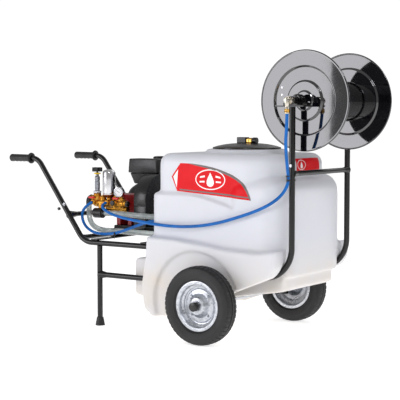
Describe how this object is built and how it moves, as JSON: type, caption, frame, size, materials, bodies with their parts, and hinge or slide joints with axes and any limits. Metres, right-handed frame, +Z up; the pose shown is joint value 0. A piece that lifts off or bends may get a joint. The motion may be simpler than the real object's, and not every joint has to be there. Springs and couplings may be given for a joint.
{
  "type": "wheeled sprayer cart",
  "caption": "Two-wheeled cart with a saddle tank, engine-driven plunger pump, push handles and a hose reel on front uprights, for spraying orchards and vineyards.",
  "frame": {"origin": "on the floor under the middle of the overall length and width", "axes": "+X towards the hose reel (front), -X towards the handles, +Y to the left-hand side, +Z up"},
  "size_m": [2.02, 0.976, 1.3765],
  "materials": {
    "frame_black": "gloss powder coat",
    "tank_white": "rotomoulded satin",
    "black_plastic": "moulded satin",
    "rubber": "matt",
    "tyre": "matt",
    "zinc": "galvanised",
    "steel": "machined",
    "bright_steel": "polished",
    "brass": "cast and machined",
    "red_paint": "gloss enamel",
    "red_plastic": "gloss",
    "hose_blue": "smooth",
    "hose_clear": "translucent",
    "reel_black": "high gloss",
    "gauge_white": "dial under glass",
    "belt_rubber": "matt"
  },
  "bodies": {
    "frame": {"handle_tube_right": "frame_black", "handle_tube_left": "frame_black", "front_upright_right": "frame_black", "front_upright_left": "frame_black", "lower_rails": "frame_black", "legs": "frame_black", "rubber_feet": "rubber", "grip_right": "rubber", "grip_left": "rubber", "crossbars": "frame_black", "axle": "steel", "axle_plates": "frame_black", "platform_bars": "frame_black", "engine_platform": "frame_black", "tank": "tank_white", "tank_fittings": "black_plastic", "reel_bearings": "frame_black", "swivel": "brass", "pump_crankcase": "red_paint", "pump_manifold": "brass", "suction_strainer": "black_plastic", "air_chamber": "bright_steel", "regulator_barrel": "steel", "bypass_elbow": "black_plastic", "pressure_gauge": "gauge_white", "engine_block": "red_paint", "air_filter": "black_plastic", "fuel_tank": "black_plastic", "recoil_housing": "black_plastic", "muffler": "steel", "drive_belt": "belt_rubber", "belt_cover": "frame_black", "delivery_hose": "hose_blue", "return_hose": "hose_blue", "bypass_hose": "hose_clear", "suction_hose": "hose_clear", "hose_clip": "black_plastic"},
    "wheel_right": {"tyre_right": "tyre", "rim_right": "zinc", "hub_and_bolts_right": "zinc", "hub_cap_right": "black_plastic"},
    "wheel_left": {"tyre_left": "tyre", "rim_left": "zinc", "hub_and_bolts_left": "zinc", "hub_cap_left": "black_plastic"},
    "reel": {"reel_disc_right": "reel_black", "reel_disc_left": "reel_black", "reel_drum": "reel_black", "reel_shaft": "frame_black", "crank_arm": "frame_black"},
    "crank_handle": {"crank_knob": "black_plastic"},
    "tank_lid": {"lid": "black_plastic", "filler_fitting": "black_plastic"},
    "pressure_knob": {"regulator_knob": "black_plastic"},
    "rear_valve_lever": {"valve_lever_rear": "red_plastic"},
    "front_valve_lever": {"valve_lever_front": "red_plastic"},
    "filler_cap": {"fuel_cap": "black_plastic"},
    "starter": {"starter_grip": "black_plastic"},
    "engine_drive": {"engine_pulley": "steel"},
    "pump_drive": {"pump_pulley": "steel"}
  },
  "joints": [
    {"name": "wheel_right_spin", "type": "hinge", "parent": "frame", "child": "wheel_right", "pos_m": [0.3455, -0.424, 0.1875], "axis": [0, 1, 0], "continuous": true},
    {"name": "wheel_left_spin", "type": "hinge", "parent": "frame", "child": "wheel_left", "pos_m": [0.3455, 0.424, 0.1875], "axis": [0, 1, 0], "continuous": true},
    {"name": "reel_spin", "type": "hinge", "parent": "frame", "child": "reel", "pos_m": [0.7765, 0, 1.143], "axis": [0, 1, 0], "continuous": true},
    {"name": "crank_knob_spin", "type": "hinge", "parent": "reel", "child": "crank_handle", "pos_m": [0.6115, 0.3, 1.143], "axis": [0, 1, 0], "continuous": true},
    {"name": "lid_lift", "type": "slide", "parent": "frame", "child": "tank_lid", "axis": [0, 0, 1], "range_m": [0, 0.12]},
    {"name": "regulator_turn", "type": "hinge", "parent": "frame", "child": "pressure_knob", "pos_m": [-0.5125, -0.141, 0.79], "axis": [0, 0, 1], "range_deg": [-360, 360]},
    {"name": "rear_valve_turn", "type": "hinge", "parent": "frame", "child": "rear_valve_lever", "pos_m": [-0.5165, -0.171, 0.648], "axis": [0, 0, 1], "range_deg": [0, 90]},
    {"name": "front_valve_turn", "type": "hinge", "parent": "frame", "child": "front_valve_lever", "pos_m": [-0.3765, -0.171, 0.648], "axis": [0, 0, 1], "range_deg": [-90, 0]},
    {"name": "fuel_cap_turn", "type": "hinge", "parent": "frame", "child": "filler_cap", "pos_m": [-0.3665, 0.214, 0.845], "axis": [0, 0, 1], "range_deg": [0, 90]},
    {"name": "starter_pull", "type": "slide", "parent": "frame", "child": "starter", "axis": [0, 1, 0], "range_m": [0, 0.06], "stiffness_N_per_m": 60},
    {"name": "engine_shaft_spin", "type": "hinge", "parent": "frame", "child": "engine_drive", "pos_m": [-0.2545, 0.185, 0.611], "axis": [1, 0, 0], "continuous": true},
    {"name": "pump_shaft_spin", "type": "hinge", "parent": "frame", "child": "pump_drive", "pos_m": [-0.2545, -0.01, 0.64], "axis": [1, 0, 0], "continuous": true}
  ],
  "couplings": [
    {"joint": "engine_shaft_spin", "follows": "pump_shaft_spin", "ratio": 2.7313}
  ]
}
